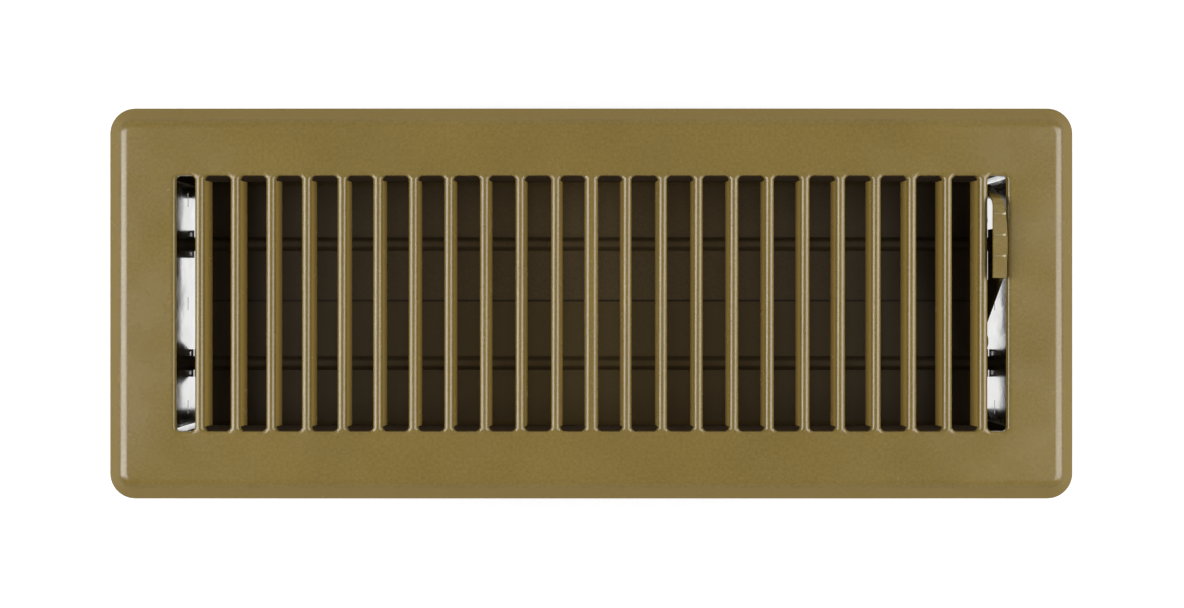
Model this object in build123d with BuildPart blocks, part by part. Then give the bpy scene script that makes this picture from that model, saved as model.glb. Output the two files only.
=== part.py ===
from build123d import *
import os
from math import atan2, copysign, cos, degrees, radians, sin

# Floor register: a stamped steel face over a damper box with two linked blades.
# X runs along the register, Y across it and Z up. The origin is the middle of the
# floor plane, on which the rim of the face rests. Sizes are in millimetres.

# Stamped face
sheet = 0.8
border = 24.25
plate_corner_radius = 9.0
face_height = 4.5
skirt_inset = 5.6
bend_radius = 6.0

# Slots and bars, counted outwards from the centre bar
bars_each_side = 11
bar_pitch = 12.6
bar_width = 3.2
centre_bar_width = 4.4
end_slot_width = 7.0
slot_length = 90.5
slot_corner_radius = 1.8
slot_corner_points = 3
collar_depth = 2.4
roll_width = 1.5
roll_depth = 0.75
roll_flats = 4

# Fins under the bars, which fan out towards the ends
fin_drop = 8.5
fin_end_gap = 1.6
inner_fin_tilt = 3.0
outer_fin_tilt = 8.0
fan_power = 3

# Damper box
box_sheet = 0.6
box_end_margin = 3.0
box_side_margin = 1.0
box_toe = 1.2
flange_width = 7.0
foot_width = 4.5
fold_radius = 1.4
tab_length = 5.5
tab_end_gap = 3.0
slit_length = 5.0
slit_height = 0.9
slit_spread = 38.5
slit_rise = 7.7

# Damper blades
blade_sheet = 0.6
blade_overlap = 2.0
blade_step = 1.0
blade_side_gap = 0.3
blade_end_gap = 5.4
blade_fin_gap = 2.0
trunnion_radius = 2.6
trunnion_proud = 1.7
tongue_width = 10.4
tongue_gap = 0.25
tongue_root_width = 17.0
tongue_root_length = 3.3
relief_length = 0.4
relief_width = 1.5
relief_offset = 3.6
relief_end_gap = 0.9
crank_radius = 12.0
crank_angle = 45.0
ear_radius = 4.0

# Lever
lever_sheet = 1.0
lever_gap = 0.2
link_radius = 3.5
arm_radius = 5.0
arm_rise = 22.5
arm_run = 17.0
thumb_rise = 3.3
thumb_width = 5.0
thumb_heel = 9.0
thumb_length = 27.5
thumb_bulge = 0.8
thumb_bend_radius = 4.0
thumb_nose_length = 6.5
thumb_nose_drop = 14.0
thumb_tip_width = 3.0
web_length = 18.0
web_drop = 20.0
rib_count = 3
rib_nose_gap = 5.0
rib_pitch = 7.4
rib_radius = 0.45

# Crank rivets
rivet_radius = 1.5
rivet_head_radius = 2.8
rivet_head_height = 0.8
rivet_head_taper = 30.0
fit_clearance = 0.05

# Values that follow from the sizes above
underside = face_height - sheet
collar_bottom = face_height - collar_depth
fin_bottom = face_height - fin_drop
bar_half_field = bars_each_side * bar_pitch + bar_width / 2
slot_half_field = bar_half_field + end_slot_width
plate_length = 2 * (slot_half_field + border)
plate_width = slot_length + 2 * border
skirt_taper = degrees(atan2(skirt_inset, face_height))

box_inside_x = slot_half_field + box_end_margin
box_outside_x = box_inside_x + box_sheet
box_inside_y = slot_length / 2 + box_side_margin
box_outside_y = box_inside_y + box_sheet

blade_width = box_inside_y - blade_side_gap + blade_overlap / 2
pivot_y = (blade_width - blade_overlap) / 2
front_pivot_z = fin_bottom - blade_fin_gap - blade_width / 2
rear_pivot_z = front_pivot_z - blade_step
box_bottom = rear_pivot_z - blade_width / 2 - box_toe
box_floor = box_bottom + box_sheet
slit_z = front_pivot_z + slit_rise
blade_end = box_inside_x - blade_end_gap
tongue_end = box_inside_x - tongue_gap
relief_x = tongue_end - relief_end_gap - relief_length / 2
trunnion_end = box_outside_x + trunnion_proud

crank_y = crank_radius * cos(radians(crank_angle))
crank_z = crank_radius * sin(radians(crank_angle))
front_pin = Vector(crank_y - pivot_y, crank_z + front_pivot_z)
rear_pin = Vector(crank_y + pivot_y, crank_z + rear_pivot_z)
ear_x = blade_end - blade_sheet
lever_x = blade_end + lever_gap
thumb_x = lever_x + lever_sheet - thumb_width
thumb_top = face_height + thumb_rise

tab_top = -tab_end_gap
tab_bottom = box_bottom + tab_end_gap


def folded_sheet(points, thickness, radius):
    """Section of a sheet folded along the points, its thickness on the right of their way."""
    with BuildSketch() as section:
        with BuildLine():
            FilletPolyline(*points, radius=radius)
            offset(amount=thickness, side=Side.RIGHT)
        make_face()
    return section.sketch


def rivet(grip):
    """Rivet along Z with a tapered head at each end of a grip that starts at Z = 0."""
    with BuildPart() as body:
        with BuildSketch():
            Circle(rivet_radius)
        extrude(amount=grip)
        for plane in (Plane.XY.offset(grip), -Plane.XY):
            with BuildSketch(plane):
                Circle(rivet_head_radius)
            extrude(amount=rivet_head_height, taper=rivet_head_taper)
    return body.part


def slot_outlines(grow):
    """All the slots in plan, grown by the same amount all round, with flats that follow the round corners."""
    radius = slot_corner_radius + grow
    reach = radius / cos(radians(45 / slot_corner_points))
    angles = [radians(90 * (number + 0.5) / slot_corner_points) for number in range(4 * slot_corner_points)]
    with BuildSketch() as outlines:
        for slot_x, slot_width in slots:
            with Locations((slot_x, 0)):
                points = []
                for angle in angles:
                    corner_x = copysign(slot_width / 2 - slot_corner_radius, cos(angle))
                    corner_y = copysign(slot_length / 2 - slot_corner_radius, sin(angle))
                    points.append((corner_x + reach * cos(angle), corner_y + reach * sin(angle)))
                Polygon(*points, align=None)
    return outlines.sketch


def export(part, name):
    """Write one finished piece under its own name."""
    part.label = name
    export_step(part, f"parts/{name}.step")


os.makedirs("parts", exist_ok=True)

# Slots as the X of their middle and their width
slots = []
for number in range(bars_each_side + 1):
    inner_edge = number * bar_pitch + bar_width / 2 if number else centre_bar_width / 2
    outer_edge = (number + 1) * bar_pitch - bar_width / 2
    if number == bars_each_side:
        outer_edge = slot_half_field
    for side in (-1, 1):
        slots.append((side * (inner_edge + outer_edge) / 2, outer_edge - inner_edge))

# Fins as the X of their middle at the collar and their tilt, positive when the foot leans to +X
fins = []
for side in (-1, 1):
    fins.append((side * (centre_bar_width - sheet) / 2, side * inner_fin_tilt))
    for number in range(1, bars_each_side + 1):
        fan = (number / bars_each_side) ** fan_power
        tilt = inner_fin_tilt + (outer_fin_tilt - inner_fin_tilt) * fan
        fins.append((side * (number * bar_pitch - bar_width / 2 + sheet / 2), -side * tilt))

# Fins in one row
with BuildPart() as fin_row:
    for fin_x, tilt in fins:
        with BuildSketch(Plane.XY.offset(collar_bottom)):
            with Locations((fin_x, 0)):
                Rectangle(sheet, slot_length - 2 * fin_end_gap)
        lean = radians(tilt)
        extrude(amount=(fin_drop - collar_depth) / cos(lean), dir=(sin(lean), 0, -cos(lean)))

# Stamped face: sloping skirt, slots with collars and rolled edges, and the fins in one sheet
with BuildPart() as face_plate:
    with BuildSketch():
        RectangleRounded(plate_length, plate_width, plate_corner_radius)
    extrude(amount=face_height, taper=skirt_taper)
    fillet(face_plate.faces().sort_by(Axis.Z)[-1].edges(), bend_radius)
    offset(amount=-sheet, openings=face_plate.faces().sort_by(Axis.Z)[0])
    with BuildSketch(Plane.XY.offset(collar_bottom)):
        for slot_x, slot_width in slots:
            with Locations((slot_x, 0)):
                Rectangle(slot_width + 2 * sheet, slot_length + 2 * sheet)
    extrude(amount=collar_depth - sheet / 2)
    with BuildSketch(Plane.XY.offset(collar_bottom)):
        add(slot_outlines(0))
    extrude(amount=collar_depth, mode=Mode.SUBTRACT)
    for number in range(roll_flats):
        low = radians(90 * number / roll_flats)
        high = radians(90 * (number + 1) / roll_flats)
        rise = roll_depth * (sin(high) - sin(low))
        spread = roll_width * (cos(low) - cos(high))
        with BuildSketch(Plane.XY.offset(face_height - roll_depth * (1 - sin(low)))):
            add(slot_outlines(roll_width * (1 - cos(low))))
        extrude(amount=rise, taper=-degrees(atan2(spread, rise)), mode=Mode.SUBTRACT)
    add(fin_row.part)
export(face_plate.part, "face_plate")

# Long walls of the box, with a flange against the underside of the face and a foot turned inwards
with BuildPart() as rear_side_wall:
    with BuildSketch(Plane.YZ.offset(-box_outside_x)):
        wall_path = [
            (box_inside_y - foot_width, box_floor),
            (box_inside_y, box_floor),
            (box_inside_y, underside),
            (box_outside_y + flange_width, underside),
        ]
        add(folded_sheet(wall_path, box_sheet, fold_radius))
    extrude(amount=2 * box_outside_x)
export(rear_side_wall.part, "rear_side_wall")

with BuildPart() as front_side_wall:
    mirror(rear_side_wall.part, about=Plane.XZ)
export(front_side_wall.part, "front_side_wall")

# Ends of the box, with tabs folded along the walls, a top flange, the pivot holes and three slits
with BuildPart() as right_end_plate:
    with BuildSketch(Plane.XY.offset(tab_bottom)):
        tab_path = [
            (box_outside_x - tab_length, box_inside_y),
            (box_outside_x, box_inside_y),
            (box_outside_x, -box_inside_y),
            (box_outside_x - tab_length, -box_inside_y),
        ]
        add(folded_sheet(tab_path, box_sheet, fold_radius))
    extrude(amount=tab_top - tab_bottom)
    with BuildSketch(Plane.XZ):
        flange_path = [
            (box_inside_x, box_floor),
            (box_inside_x, underside),
            (box_outside_x + flange_width, underside),
        ]
        add(folded_sheet(flange_path, box_sheet, fold_radius))
    extrude(amount=box_inside_y - fold_radius, both=True)
    with BuildSketch(Plane.YZ.offset(box_inside_x)):
        with Locations((-pivot_y, front_pivot_z), (pivot_y, rear_pivot_z)):
            Circle(trunnion_radius + fit_clearance)
        with Locations((-slit_spread, slit_z), (0, slit_z), (slit_spread, slit_z)):
            Rectangle(slit_length, slit_height)
    extrude(amount=box_sheet, mode=Mode.SUBTRACT)
export(right_end_plate.part, "right_end_plate")

with BuildPart() as left_end_plate:
    mirror(right_end_plate.part, about=Plane.YZ)
export(left_end_plate.part, "left_end_plate")

# Blades: a sheet with tongues, a half-round bead that runs out into trunnions, and a crank ear
for name, blade_y, blade_z, pin in (
    ("front", -pivot_y, front_pivot_z, front_pin),
    ("rear", pivot_y, rear_pivot_z, rear_pin),
):
    with BuildPart() as damper_blade:
        with BuildSketch(Plane.XY.offset(blade_z - blade_sheet / 2)):
            with Locations((0, blade_y)):
                Rectangle(2 * blade_end, blade_width)
                Rectangle(2 * tongue_end, tongue_width)
                with GridLocations(2 * relief_x, 2 * relief_offset, 2, 2):
                    Rectangle(relief_length, relief_width, mode=Mode.SUBTRACT)
            if name == "front":
                root_end = -blade_end - tongue_root_length
                with BuildLine():
                    Polyline(
                        (-blade_end, blade_y - tongue_root_width / 2),
                        (root_end, blade_y - tongue_width / 2),
                        (root_end, blade_y + tongue_width / 2),
                        (-blade_end, blade_y + tongue_root_width / 2),
                        close=True,
                    )
                make_face()
        extrude(amount=blade_sheet)
        with BuildSketch(Plane.YZ.offset(-trunnion_end)):
            with Locations((blade_y, blade_z)):
                Circle(trunnion_radius)
        extrude(amount=2 * trunnion_end)
        with BuildSketch(Plane.YZ.offset(-trunnion_end)):
            with Locations((blade_y, blade_z)):
                Circle(trunnion_radius - blade_sheet)
        extrude(amount=2 * trunnion_end, mode=Mode.SUBTRACT)
        with BuildSketch(Plane.XY.offset(blade_z - blade_sheet / 2)):
            with Locations((0, blade_y)):
                Rectangle(2 * blade_end, 2 * trunnion_radius)
        extrude(amount=-trunnion_radius, mode=Mode.SUBTRACT)
        with BuildSketch(Plane.YZ.offset(ear_x)):
            with Locations((pin.X, blade_z + crank_z / 2)):
                Rectangle(2 * ear_radius, crank_z)
            with Locations(pin):
                Circle(ear_radius)
                Circle(rivet_radius + fit_clearance, mode=Mode.SUBTRACT)
        extrude(amount=blade_sheet)
    export(damper_blade.part, f"{name}_damper_blade")

    with BuildPart() as crank_rivet:
        with Locations(Plane((ear_x, pin.X, pin.Y), z_dir=(1, 0, 0))):
            add(rivet(blade_sheet + lever_sheet + 2 * lever_gap))
    export(crank_rivet.part, f"{name}_crank_rivet")

# Lever: a ribbed thumb tab with a bent nose, a web, an arm and the link between the cranks
with BuildPart() as operating_lever:
    bend_y = thumb_heel + thumb_length
    tip_y = bend_y + thumb_nose_length
    with BuildSketch(Plane.YZ.offset(thumb_x)):
        thumb_path = [(thumb_heel, thumb_top), (bend_y, thumb_top), (tip_y, thumb_top - thumb_nose_drop)]
        add(folded_sheet(thumb_path, lever_sheet, thumb_bend_radius))
    extrude(amount=thumb_width)
    with BuildSketch(Plane.XY.offset(thumb_top - thumb_nose_drop)):
        with BuildLine():
            outer_x = thumb_x + thumb_width
            heel_corner = (outer_x - thumb_bulge, thumb_heel)
            bend_corner = (outer_x - thumb_bulge, bend_y - thumb_bend_radius)
            ThreePointArc(heel_corner, (outer_x, thumb_heel + thumb_length / 2), bend_corner)
            Polyline(
                bend_corner,
                (thumb_x + thumb_tip_width, tip_y),
                (thumb_x, tip_y),
                (thumb_x, thumb_heel),
                heel_corner,
            )
        make_face()
    extrude(amount=2 * thumb_nose_drop, both=True, mode=Mode.INTERSECT)
    with BuildSketch(Plane.YZ.offset(thumb_x)):
        for number in range(rib_count):
            with Locations((bend_y - rib_nose_gap - number * rib_pitch, thumb_top)):
                Circle(rib_radius)
    extrude(amount=thumb_width - thumb_bulge)
    with BuildSketch(Plane.YZ.offset(lever_x)):
        SlotCenterPoint((front_pin + rear_pin) / 2, rear_pin, 2 * link_radius)
        arm_head = Vector(thumb_heel + arm_radius, front_pin.Y + arm_rise)
        arm_foot = Vector(arm_head.X - arm_run, front_pin.Y + arm_radius - link_radius)
        SlotCenterPoint((arm_foot + arm_head) / 2, arm_head, 2 * arm_radius)
        with Locations((thumb_heel, thumb_top - lever_sheet / 2)):
            Rectangle(web_length, web_drop, align=(Align.MIN, Align.MAX))
        with Locations(front_pin, rear_pin):
            Circle(rivet_radius + fit_clearance, mode=Mode.SUBTRACT)
    extrude(amount=lever_sheet)
export(operating_lever.part, "operating_lever")
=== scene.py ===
# Floor register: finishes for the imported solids, a further stamped face, a white table and studio light
from math import radians

import bpy
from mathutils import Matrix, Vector


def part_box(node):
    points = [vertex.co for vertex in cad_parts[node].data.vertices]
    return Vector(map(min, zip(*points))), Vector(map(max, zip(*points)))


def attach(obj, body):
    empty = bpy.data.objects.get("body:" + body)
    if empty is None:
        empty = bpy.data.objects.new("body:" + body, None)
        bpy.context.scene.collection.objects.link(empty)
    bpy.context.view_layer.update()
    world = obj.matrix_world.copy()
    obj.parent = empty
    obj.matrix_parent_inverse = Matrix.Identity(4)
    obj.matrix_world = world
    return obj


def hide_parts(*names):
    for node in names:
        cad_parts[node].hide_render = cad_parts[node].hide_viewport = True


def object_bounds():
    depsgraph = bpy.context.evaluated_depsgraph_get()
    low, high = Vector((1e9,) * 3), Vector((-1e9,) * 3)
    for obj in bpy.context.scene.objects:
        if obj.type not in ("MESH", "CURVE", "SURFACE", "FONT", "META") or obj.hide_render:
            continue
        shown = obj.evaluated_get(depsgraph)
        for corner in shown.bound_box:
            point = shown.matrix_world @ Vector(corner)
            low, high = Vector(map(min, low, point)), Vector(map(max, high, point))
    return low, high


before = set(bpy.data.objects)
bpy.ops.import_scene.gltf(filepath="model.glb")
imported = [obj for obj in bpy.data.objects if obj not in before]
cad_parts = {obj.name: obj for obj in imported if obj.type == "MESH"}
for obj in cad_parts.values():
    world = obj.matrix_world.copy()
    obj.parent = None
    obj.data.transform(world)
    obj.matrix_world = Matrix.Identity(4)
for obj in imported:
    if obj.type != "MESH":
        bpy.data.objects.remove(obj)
cad_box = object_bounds()

# Colours, linear
FACE_PAINT = (0.246, 0.172, 0.041)
FACE_PAINT_DARK = (0.174, 0.119, 0.027)
# painted light: an even tone on the sloped skirt, lighter than the face's mottled mean, for how the slope
# takes the light
SKIRT_LIGHT_PAINT = (0.236, 0.164, 0.041)
# painted light: a much lighter tone on the fins, standing in for the light that the slots shade off them
FIN_LIGHT_PAINT = (0.395, 0.270, 0.073)
# rubbed paint along the thumb tab's ribs, and a painted highlight at their ends
RUB_AND_GLINT_PAINT = (0.72, 0.64, 0.42)
# painted shade: near black, on the end plates' tabs at two corners and on the lever below the face
PAINTED_SHADE = (0.030, 0.022, 0.012)
BLADE_PAINT = (0.128, 0.090, 0.040)
BLADE_PAINT_DARK = (0.086, 0.060, 0.027)
# painted shade at the blades' ends
BLADE_END_SHADE = (0.050, 0.035, 0.018)
FRONT_BLADE_PAINT = (0.095, 0.066, 0.022)
# painted light: a lighter tone on the side walls, which lie in shade
WALL_LIGHT_PAINT = (0.170, 0.132, 0.095)
SEAM_SHADE = (0.022, 0.015, 0.008)
ZINC = (0.80, 0.80, 0.79)
ZINC_DARK = (0.60, 0.60, 0.60)
TABLE_WHITE = (0.60, 0.60, 0.60)

# How much of each local colour covers the paint under it
FIN_COVER = 0.95
SKIRT_COVER = 0.90
RIB_COVER = 0.12
SUNK_COVER = 0.9
FRONT_COVER = 0.6
SEAM_COVER = 0.9
FLANK_COVER = 0.55
SPANGLE_COVER = 0.45

# Roughness, specular level and strength of the orange peel
FACE_ROUGHNESS = 0.24
LEVER_ROUGHNESS = 0.26
BLADE_ROUGHNESS = 0.55
PLATE_ROUGHNESS = 0.16
RIVET_ROUGHNESS = 0.25
FACE_SHINE = 0.65
SKIRT_SHINE = 0.28
SUNK_SHINE = 0.2
BLADE_SHINE = 0.2
ZINC_SHINE = 0.5
FACE_PEEL = 0.15
BLADE_PEEL = 0.30

# Noise patterns in the finish: waves per metre, detail and roughness
CLOUDS = (22.0, 5.0, 0.55)
GRAIN = (900.0, 3.0, 0.7)
UNEVEN_GLOSS = (60.0, 4.0, 0.55)
ORANGE_PEEL = (1100.0, 2.0, 0.55)
DULL_SPOTS = (90.0, 6.0, 0.65)
ROLLED_WAVES = (140.0, 2.0, 0.55)
SPANGLE_SCALE = 260.0

# What the patterns do: the noise's usual span, shares of the darker paint, changes of roughness and heights
NOISE_SPAN = (0.3, 0.7)
CLOUD_SHARE = (0.0, 0.4)
GRAIN_SHARE = (-0.1, 0.7)
GLOSS_CHANGE = (-0.05, 0.06)
DULL_SPAN = (0.35, 0.75)
DULL_CHANGE = (-0.06, 0.12)
PEEL_HEIGHT = 0.00006
WAVE_HEIGHT = 0.0002
WAVE_STRENGTH = 0.25
UNIT = (0.0, 1.0)

# Places on the solids, in metres
FACE_HEIGHT = 0.0045
BAR_PITCH = 0.0126
BAR_FIELD = (0.1408, 0.0436)
BAR_FIELD_FADE = 0.0015
BAR_HALF_WIDTH = 0.0017
SLOT_FIELD = (0.148, 0.046)
SLOT_FIELD_FADE = 0.002
BOX_FIELD = (0.150, 0.046)
BOX_FIELD_FADE = 0.012
BLADE_MIDDLE = 0.020
BLADE_END_FADE = 0.118
BLADE_EDGE_Y = 0.0440
BLADE_EDGE_FADE = 0.0008
TAB_FOLD_Y = 0.0435
TAB_FOLD_FADE = 0.0012
WALL_Y = 0.0460
WALL_FADE = 0.0002
SEAM_Y = 0.0011
SEAM_EDGE = 0.0002
SEAM_WIDTH = (0.0002, 0.0005)
PIVOT_Y = 0.022475
BEAD_FLANK = 0.0016
FLANK_WIDTH = (0.0003, 0.0009)
THUMB_TOP = FACE_HEIGHT + 0.0033
THUMB_BULGE = 0.0008
RIB_END_REACH = (0.0014, 0.0002)
BEYOND = 1.0

# Heights between which a local colour fades in or out
FIN_BAND = (FACE_HEIGHT - 0.0028, FACE_HEIGHT - 0.0008)
SKIRT_BAND = (FACE_HEIGHT - 0.0016, FACE_HEIGHT - 0.0010)
SUNK_BAND = (FACE_HEIGHT - 0.0030, FACE_HEIGHT + 0.0012)
RIB_BAND = (THUMB_TOP + 0.0001, THUMB_TOP + 0.0003)

# Further stamping of the face: the crown falls with the square of the distance, the fins lean with depth
BAR_CROWN = 215.0
CROWN_BAND = (FACE_HEIGHT - 0.0024, FACE_HEIGHT - 0.0008)
FIN_TOP = FACE_HEIGHT - 0.0024
FIN_LEAN = 0.075
FIN_LEAN_SPAN = 0.1

# Smooth shading of the solids
SMOOTH_ANGLE = radians(46)
WELD_DISTANCE = 1e-6
FLAT_FACE_WEIGHT = 80

# Table and surround
TABLE_HEIGHT = cad_box[0].z
TABLE_SIZE = 8.0
NEAR_FIELD = (0.25, 0.25)
NEAR_FIELD_FADE = 0.75
NEAR_GLOW = 0.60
FAR_GLOW = 1.0
# painted light: the table under the box glows this strongly for reflected rays only
MIRRORED_GLOW = (0.05, 1.0)
SURROUND_GLOW = (0.18, 1.0)
HORIZON_BAND = (0.08, 0.16)

# Lamps that face the register: place, width, level length and power
LAMPS = {
    "left_softbox": ((-0.88, 0.0, 0.68), 0.75, 0.60, 9.2),
    "right_softbox": ((0.86, 0.0, 0.68), 0.75, 0.85, 9.6),
    "rear_panel": ((0.0, 1.2, 0.50), 1.0, 2.0, 1.6),
    "front_panel": ((0.0, -1.2, 0.50), 1.0, 2.0, 1.6),
}

# Camera, straight above the face
CAMERA_PLACE = (0.00025, -0.00018, FACE_HEIGHT + 0.480)
CAMERA_LENS = 41.33
CAMERA_SENSOR = 36.0
CAMERA_CLIP_START = 0.01


def new_material(name):
    """An empty node material, with its tree and the socket of its surface."""
    material = bpy.data.materials.new(name)
    material.use_nodes = True
    tree = material.node_tree
    tree.nodes.clear()
    output = tree.nodes.new("ShaderNodeOutputMaterial")
    return material, tree, output.inputs["Surface"]


def coated(name):
    """A node material with one principled shader, and the object's own coordinates."""
    material, tree, surface = new_material(name)
    shader = tree.nodes.new("ShaderNodeBsdfPrincipled")
    tree.links.new(shader.outputs["BSDF"], surface)
    return material, tree, shader, object_position(tree)


def object_position(tree):
    """The object's own coordinates."""
    return tree.nodes.new("ShaderNodeTexCoord").outputs["Object"]


def split_axes(tree, position):
    """The X, Y and Z of a position."""
    axes = tree.nodes.new("ShaderNodeSeparateXYZ")
    tree.links.new(position, axes.inputs["Vector"])
    return axes.outputs


def noise(tree, position, pattern):
    """Noise at a position, in one of the patterns."""
    texture = tree.nodes.new("ShaderNodeTexNoise")
    for socket, value in zip(("Scale", "Detail", "Roughness"), pattern):
        texture.inputs[socket].default_value = value
    tree.links.new(position, texture.inputs["Vector"])
    return texture.outputs["Fac"]


def spread(tree, value, span, result):
    """The value carried from one span to another, held at the ends."""
    mapped = tree.nodes.new("ShaderNodeMapRange")
    for socket, limit in zip(("From Min", "From Max", "To Min", "To Max"), (*span, *result)):
        mapped.inputs[socket].default_value = limit
    tree.links.new(value, mapped.inputs["Value"])
    return mapped.outputs["Result"]


def mixed(tree, factor, first, second):
    """Two colours mixed by a factor; each is a colour or a socket."""
    mix = tree.nodes.new("ShaderNodeMix")
    mix.data_type = "RGBA"
    tree.links.new(factor, mix.inputs["Factor"])
    for value, socket in ((first, mix.inputs["A"]), (second, mix.inputs["B"])):
        if isinstance(value, tuple):
            socket.default_value = (*value, 1.0)
        else:
            tree.links.new(value, socket)
    return mix.outputs["Result"]


def bumped(tree, height, distance, strength):
    """The normal of a bump from a height value."""
    bump = tree.nodes.new("ShaderNodeBump")
    bump.inputs["Distance"].default_value = distance
    bump.inputs["Strength"].default_value = strength
    tree.links.new(height, bump.inputs["Height"])
    return bump.outputs["Normal"]


def calculated(tree, operation, first, second=0.0):
    """A math node over two values, each a number or a socket."""
    node = tree.nodes.new("ShaderNodeMath")
    node.operation = operation
    for value, socket in ((first, node.inputs[0]), (second, node.inputs[1])):
        if isinstance(value, float):
            socket.default_value = value
        else:
            tree.links.new(value, socket)
    return node.outputs["Value"]


def apart(tree, value, place):
    """How far a value lies from a place."""
    gap = calculated(tree, "SUBTRACT", value, place)
    return calculated(tree, "ABSOLUTE", gap)


def inside_rectangle(tree, position, half_size, fade):
    """One inside a rectangle about the Z axis, falling to nothing over the fade."""
    axes = split_axes(tree, position)
    half_x, half_y = half_size
    distance_x = calculated(tree, "ABSOLUTE", axes["X"])
    distance_y = calculated(tree, "ABSOLUTE", axes["Y"])
    along = spread(tree, distance_x, (half_x, half_x + fade), (1.0, 0.0))
    across = spread(tree, distance_y, (half_y, half_y + fade), (1.0, 0.0))
    return calculated(tree, "MULTIPLY", along, across)


def enamel(name, colour, dark, roughness, peel, shine):
    """Sprayed satin enamel: faint mottling, fine orange peel and uneven gloss."""
    material, tree, shader, position = coated(name)
    clouds = spread(tree, noise(tree, position, CLOUDS), NOISE_SPAN, CLOUD_SHARE)
    grain = spread(tree, noise(tree, position, GRAIN), NOISE_SPAN, GRAIN_SHARE)
    paint = mixed(tree, calculated(tree, "ADD", clouds, grain), colour, dark)
    roughness_range = [roughness + change for change in GLOSS_CHANGE]
    gloss = spread(tree, noise(tree, position, UNEVEN_GLOSS), NOISE_SPAN, roughness_range)
    tree.links.new(gloss, shader.inputs["Roughness"])
    shader.inputs["Specular IOR Level"].default_value = shine
    fine = bumped(tree, noise(tree, position, ORANGE_PEEL), PEEL_HEIGHT, peel)
    tree.links.new(fine, shader.inputs["Normal"])
    return material, tree, shader, position, paint


def face_paint(name):
    """The face's enamel, with painted light on the fins, a painted lighter tone on the skirt, and duller on
    the skirt.
    """
    base = enamel(name, FACE_PAINT, FACE_PAINT_DARK, FACE_ROUGHNESS, FACE_PEEL, FACE_SHINE)
    material, tree, shader, position, paint = base
    height = split_axes(tree, position)["Z"]
    slotted = inside_rectangle(tree, position, SLOT_FIELD, SLOT_FIELD_FADE)
    border = spread(tree, slotted, UNIT, (1.0, 0.0))
    deep = spread(tree, height, FIN_BAND, (FIN_COVER, 0.0))
    low = spread(tree, height, SKIRT_BAND, (SKIRT_COVER, 0.0))
    on_fins = calculated(tree, "MULTIPLY", deep, slotted)
    on_skirt = calculated(tree, "MULTIPLY", low, border)
    # painted light on the fins below the bars
    paint = mixed(tree, on_fins, paint, FIN_LIGHT_PAINT)
    # painted light on the skirt
    paint = mixed(tree, on_skirt, paint, SKIRT_LIGHT_PAINT)
    tree.links.new(paint, shader.inputs["Base Color"])
    shine = spread(tree, on_skirt, (0.0, SKIRT_COVER), (FACE_SHINE, SKIRT_SHINE))
    tree.links.new(shine, shader.inputs["Specular IOR Level"])
    return material


def lever_paint(name):
    """The lever's enamel: as the face on the thumb tab, rubbed on its ribs with a painted highlight at
    their ends, and painted shade below the face.
    """
    base = enamel(name, FACE_PAINT, FACE_PAINT_DARK, LEVER_ROUGHNESS, FACE_PEEL, FACE_SHINE)
    material, tree, shader, position, paint = base
    axes = split_axes(tree, position)
    rib_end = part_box("operating_lever")[1].x - THUMB_BULGE
    end_band = [rib_end - reach for reach in RIB_END_REACH]
    on_ribs = spread(tree, axes["Z"], RIB_BAND, UNIT)
    at_ends = spread(tree, axes["X"], end_band, (RIB_COVER, 1.0))
    # faintly rubbed paint along the ribs, with a painted highlight at their ends
    paint = mixed(tree, calculated(tree, "MULTIPLY", on_ribs, at_ends), paint, RUB_AND_GLINT_PAINT)
    sunk = spread(tree, axes["Z"], SUNK_BAND, (SUNK_COVER, 0.0))
    # painted shade on the lever below the face
    tree.links.new(mixed(tree, sunk, paint, PAINTED_SHADE), shader.inputs["Base Color"])
    shine = spread(tree, sunk, (0.0, SUNK_COVER), (FACE_SHINE, SUNK_SHINE))
    tree.links.new(shine, shader.inputs["Specular IOR Level"])
    return material


def damper_paint(name):
    """Dark enamel, with painted shade at the blades' ends, beside their beads and in the seam, painted
    light along the walls, and dull along the walls.
    """
    base = enamel(name, BLADE_PAINT, BLADE_PAINT_DARK, BLADE_ROUGHNESS, BLADE_PEEL, BLADE_SHINE)
    material, tree, shader, position, paint = base
    across = split_axes(tree, position)["Y"]
    front = spread(tree, across, (SEAM_Y - SEAM_EDGE, SEAM_Y), (FRONT_COVER, 0.0))
    paint = mixed(tree, front, paint, FRONT_BLADE_PAINT)
    middle = inside_rectangle(tree, position, (BLADE_MIDDLE, BEYOND), BLADE_END_FADE)
    # painted shade towards the blades' ends
    paint = mixed(tree, middle, BLADE_END_SHADE, paint)
    seam = spread(tree, apart(tree, across, SEAM_Y), SEAM_WIDTH, (SEAM_COVER, 0.0))
    # painted shade in the seam between the blades
    paint = mixed(tree, seam, paint, SEAM_SHADE)
    off_pivot = apart(tree, calculated(tree, "ABSOLUTE", across), PIVOT_Y)
    flank = spread(tree, apart(tree, off_pivot, BEAD_FLANK), FLANK_WIDTH, (FLANK_COVER, 0.0))
    # painted shade beside the beads
    paint = mixed(tree, flank, paint, SEAM_SHADE)
    between_walls = inside_rectangle(tree, position, (BEYOND, WALL_Y), WALL_FADE)
    # painted light along the walls
    paint = mixed(tree, between_walls, WALL_LIGHT_PAINT, paint)
    tree.links.new(paint, shader.inputs["Base Color"])
    off_edges = inside_rectangle(tree, position, (BEYOND, BLADE_EDGE_Y), BLADE_EDGE_FADE)
    shine = spread(tree, off_edges, UNIT, (0.0, BLADE_SHINE))
    tree.links.new(shine, shader.inputs["Specular IOR Level"])
    return material


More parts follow.
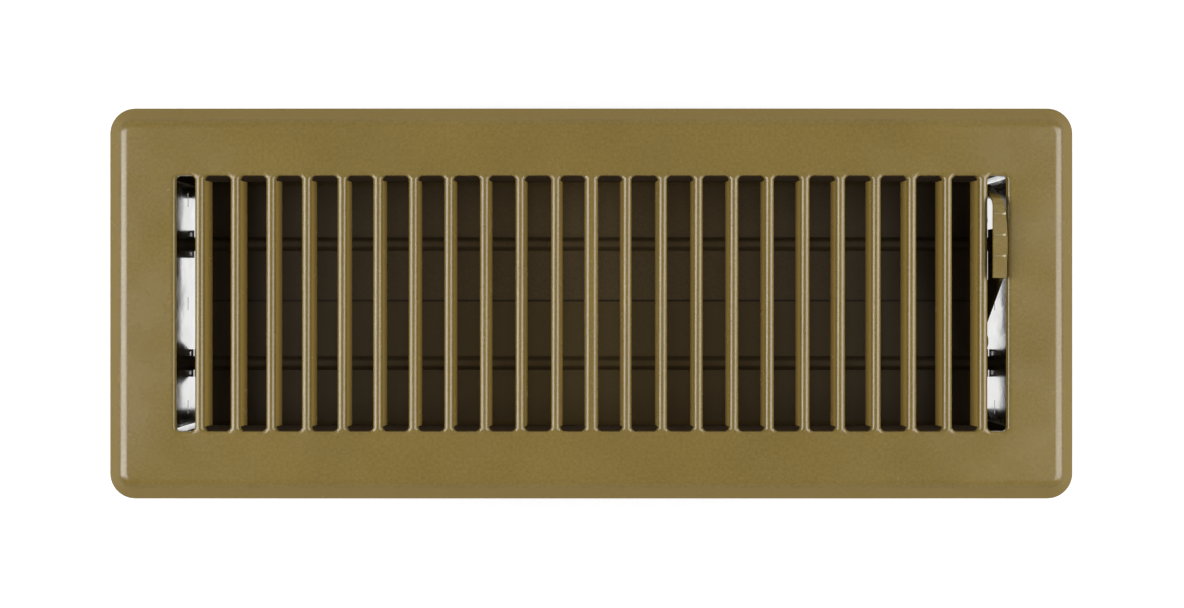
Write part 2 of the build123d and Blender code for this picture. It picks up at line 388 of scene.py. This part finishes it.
def zinc_plate(name, roughness):
    """Bright zinc on rolled sheet: spangle, dull spots, and painted shade on the tabs at two corners."""
    material, tree, shader, position = coated(name)
    spangle = tree.nodes.new("ShaderNodeTexVoronoi")
    spangle.inputs["Scale"].default_value = SPANGLE_SCALE
    tree.links.new(position, spangle.inputs["Vector"])
    flake = tree.nodes.new("ShaderNodeSeparateColor")
    tree.links.new(spangle.outputs["Color"], flake.inputs["Color"])
    tone = spread(tree, flake.outputs["Red"], UNIT, (0.0, SPANGLE_COVER))
    bare = mixed(tree, tone, ZINC, ZINC_DARK)
    axes = split_axes(tree, position)
    corner = calculated(tree, "MULTIPLY", axes["X"], axes["Y"])
    unshaded_corner = calculated(tree, "GREATER_THAN", corner, 0.0)
    off_tabs = inside_rectangle(tree, position, (BEYOND, TAB_FOLD_Y), TAB_FOLD_FADE)
    unshaded = calculated(tree, "MAXIMUM", off_tabs, unshaded_corner)
    # painted shade on the tabs at two corners, dark and not metal
    tree.links.new(mixed(tree, unshaded, PAINTED_SHADE, bare), shader.inputs["Base Color"])
    tree.links.new(unshaded, shader.inputs["Metallic"])
    shine = spread(tree, unshaded, UNIT, (0.0, ZINC_SHINE))
    tree.links.new(shine, shader.inputs["Specular IOR Level"])
    roughness_range = [roughness + change for change in DULL_CHANGE]
    dull = spread(tree, noise(tree, position, DULL_SPOTS), DULL_SPAN, roughness_range)
    tree.links.new(dull, shader.inputs["Roughness"])
    waves = bumped(tree, noise(tree, position, ROLLED_WAVES), WAVE_HEIGHT, WAVE_STRENGTH)
    tree.links.new(waves, shader.inputs["Normal"])
    return material


def stamped_bars():
    """Node group that crowns the bars' tops and leans the middle fins a little further inwards."""
    tree = bpy.data.node_groups.new("stamped_bars", "GeometryNodeTree")
    for side in ("INPUT", "OUTPUT"):
        tree.interface.new_socket("Geometry", in_out=side, socket_type="NodeSocketGeometry")
    position = tree.nodes.new("GeometryNodeInputPosition").outputs["Position"]
    axes = split_axes(tree, position)

    # Crown, from the distance to the nearest bar's middle
    off_bar = calculated(tree, "PINGPONG", axes["X"], BAR_PITCH / 2)
    off_bar = calculated(tree, "MINIMUM", off_bar, BAR_HALF_WIDTH)
    fall = calculated(tree, "MULTIPLY", off_bar, off_bar)
    fall = calculated(tree, "MULTIPLY", fall, -BAR_CROWN)
    barred = inside_rectangle(tree, position, BAR_FIELD, BAR_FIELD_FADE)
    fall = calculated(tree, "MULTIPLY", fall, barred)
    near_top = spread(tree, axes["Z"], CROWN_BAND, UNIT)
    fall = calculated(tree, "MULTIPLY", fall, near_top)

    # Lean, from the depth under the bars, most beside the centre bar and none at the outer bars
    fin_span = (FIN_TOP - FIN_LEAN_SPAN, FIN_TOP)
    depth = spread(tree, axes["Z"], fin_span, (-FIN_LEAN_SPAN * FIN_LEAN, 0.0))
    lean = calculated(tree, "MULTIPLY", depth, calculated(tree, "SIGN", axes["X"]))
    from_middle = calculated(tree, "ABSOLUTE", axes["X"])
    off_centre_bar = calculated(tree, "GREATER_THAN", from_middle, BAR_PITCH / 2)
    reach = spread(tree, from_middle, (BAR_PITCH / 2, BAR_FIELD[0]), (1.0, 0.0))
    reach = calculated(tree, "MULTIPLY", reach, off_centre_bar)
    lean = calculated(tree, "MULTIPLY", lean, reach)
    slotted = inside_rectangle(tree, position, SLOT_FIELD, SLOT_FIELD_FADE)
    lean = calculated(tree, "MULTIPLY", lean, slotted)

    offset = tree.nodes.new("ShaderNodeCombineXYZ")
    tree.links.new(lean, offset.inputs["X"])
    tree.links.new(fall, offset.inputs["Z"])
    shaped = tree.nodes.new("GeometryNodeSetPosition")
    tree.links.new(offset.outputs["Vector"], shaped.inputs["Offset"])
    tree.links.new(tree.nodes.new("NodeGroupInput").outputs["Geometry"], shaped.inputs["Geometry"])
    tree.links.new(shaped.outputs["Geometry"], tree.nodes.new("NodeGroupOutput").inputs["Geometry"])
    return tree


def shaped_plate(node):
    """The face plate's sheet with its bars and fins stamped further, which stands for the plain solid."""
    piece = bpy.data.objects.new("stamped_face", node.data.copy())
    bpy.context.scene.collection.objects.link(piece)
    bars = piece.modifiers.new("stamped_bars", "NODES")
    bars.node_group = stamped_bars()
    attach(piece, "frame")
    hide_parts("face_plate")
    return piece


def dress(piece, material):
    """A piece gets its material, and smooth shading across its rounded edges."""
    piece.data.materials.clear()
    piece.data.materials.append(material)
    weld = piece.modifiers.new("weld", "WELD")
    weld.merge_threshold = WELD_DISTANCE
    split = piece.modifiers.new("sharp_edges", "EDGE_SPLIT")
    split.split_angle = SMOOTH_ANGLE
    split.use_edge_sharp = False
    weighted = piece.modifiers.new("flat_faces", "WEIGHTED_NORMAL")
    weighted.mode = "FACE_AREA"
    weighted.weight = FLAT_FACE_WEIGHT


def mirrored_ray(tree, path):
    """One for a ray that comes by way of shiny metal or glass."""
    return calculated(tree, "MAXIMUM", path["Is Glossy Ray"], path["Is Transmission Ray"])


def table_paint():
    """White that keeps the register's shadow; under the box it glows for reflected rays only, painted light
    that shows white in the bright metal over it.
    """
    material, tree, surface = new_material("white_table")
    position = object_position(tree)
    under_box = inside_rectangle(tree, position, BOX_FIELD, BOX_FIELD_FADE)
    near = inside_rectangle(tree, position, NEAR_FIELD, NEAR_FIELD_FADE)
    path = tree.nodes.new("ShaderNodeLightPath").outputs
    backdrop = spread(tree, near, UNIT, (FAR_GLOW, NEAR_GLOW))
    seen = calculated(tree, "MULTIPLY", path["Is Camera Ray"], backdrop)
    # painted light under the box, seen only in reflections
    reflection = spread(tree, under_box, UNIT, MIRRORED_GLOW)
    reflected = calculated(tree, "MULTIPLY", mirrored_ray(tree, path), reflection)
    diffuse = tree.nodes.new("ShaderNodeBsdfDiffuse")
    diffuse.inputs["Color"].default_value = (*TABLE_WHITE, 1.0)
    glow = tree.nodes.new("ShaderNodeEmission")
    tree.links.new(calculated(tree, "ADD", seen, reflected), glow.inputs["Strength"])
    total = tree.nodes.new("ShaderNodeAddShader")
    tree.links.new(diffuse.outputs["BSDF"], total.inputs[0])
    tree.links.new(glow.outputs["Emission"], total.inputs[1])
    tree.links.new(total.outputs["Shader"], surface)
    material.cycles.emission_sampling = "NONE"
    return material


def studio_world():
    """An even surround, dim overhead, and white along the horizon where it is seen or mirrored."""
    world = bpy.data.worlds.new("studio")
    world.use_nodes = True
    tree = world.node_tree
    surround = tree.nodes["Background"]
    surround.inputs["Color"].default_value = (1.0, 1.0, 1.0, 1.0)
    path = tree.nodes.new("ShaderNodeLightPath").outputs
    shown = calculated(tree, "MAXIMUM", path["Is Camera Ray"], mirrored_ray(tree, path))
    direction = tree.nodes.new("ShaderNodeTexCoord").outputs["Generated"]
    slope = calculated(tree, "ABSOLUTE", split_axes(tree, direction)["Z"])
    horizon = spread(tree, slope, HORIZON_BAND, (1.0, 0.0))
    shown = calculated(tree, "MULTIPLY", shown, horizon)
    tree.links.new(spread(tree, shown, UNIT, SURROUND_GLOW), surround.inputs["Strength"])
    return world


def add_lamp(name, place, width, length, power):
    """A rectangular lamp that faces the register."""
    data = bpy.data.lights.new(name, "AREA")
    data.shape = "RECTANGLE"
    data.size = length
    data.size_y = width
    data.energy = power
    lamp = bpy.data.objects.new(name, data)
    lamp.location = place
    lamp.rotation_mode = "QUATERNION"
    lamp.rotation_quaternion = (-Vector(place)).to_track_quat("-Z", "Y")
    bpy.context.scene.collection.objects.link(lamp)


# Finishes
face_enamel = face_paint("face_enamel")
lever_enamel = lever_paint("lever_enamel")
blade_enamel = damper_paint("blade_enamel")
plated_steel = zinc_plate("plated_steel", PLATE_ROUGHNESS)
rivet_steel = zinc_plate("rivet_steel", RIVET_ROUGHNESS)

NODE_MATERIALS = {
    "left_end_plate": plated_steel,
    "right_end_plate": plated_steel,
    "front_side_wall": blade_enamel,
    "rear_side_wall": blade_enamel,
    "front_damper_blade": blade_enamel,
    "rear_damper_blade": blade_enamel,
    "front_crank_rivet": rivet_steel,
    "rear_crank_rivet": rivet_steel,
    "operating_lever": lever_enamel,
}

dress(shaped_plate(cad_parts["face_plate"]), face_enamel)
for node_name, node_material in NODE_MATERIALS.items():
    dress(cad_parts[node_name], node_material)

# Table, surround and lamps
bpy.ops.mesh.primitive_plane_add(size=TABLE_SIZE, location=(0, 0, TABLE_HEIGHT))
table = bpy.context.object
table.name = "table"
table.data.materials.append(table_paint())

bpy.context.scene.world = studio_world()
for lamp_name, lamp_values in LAMPS.items():
    add_lamp(lamp_name, *lamp_values)

# Camera
camera_data = bpy.data.cameras.new("camera")
camera_data.lens = CAMERA_LENS
camera_data.sensor_width = CAMERA_SENSOR
camera_data.sensor_fit = "HORIZONTAL"
camera_data.clip_start = CAMERA_CLIP_START
camera = bpy.data.objects.new("camera", camera_data)
camera.location = CAMERA_PLACE
bpy.context.scene.collection.objects.link(camera)
bpy.context.scene.camera = camera

bpy.context.scene.view_settings.view_transform = "Standard"
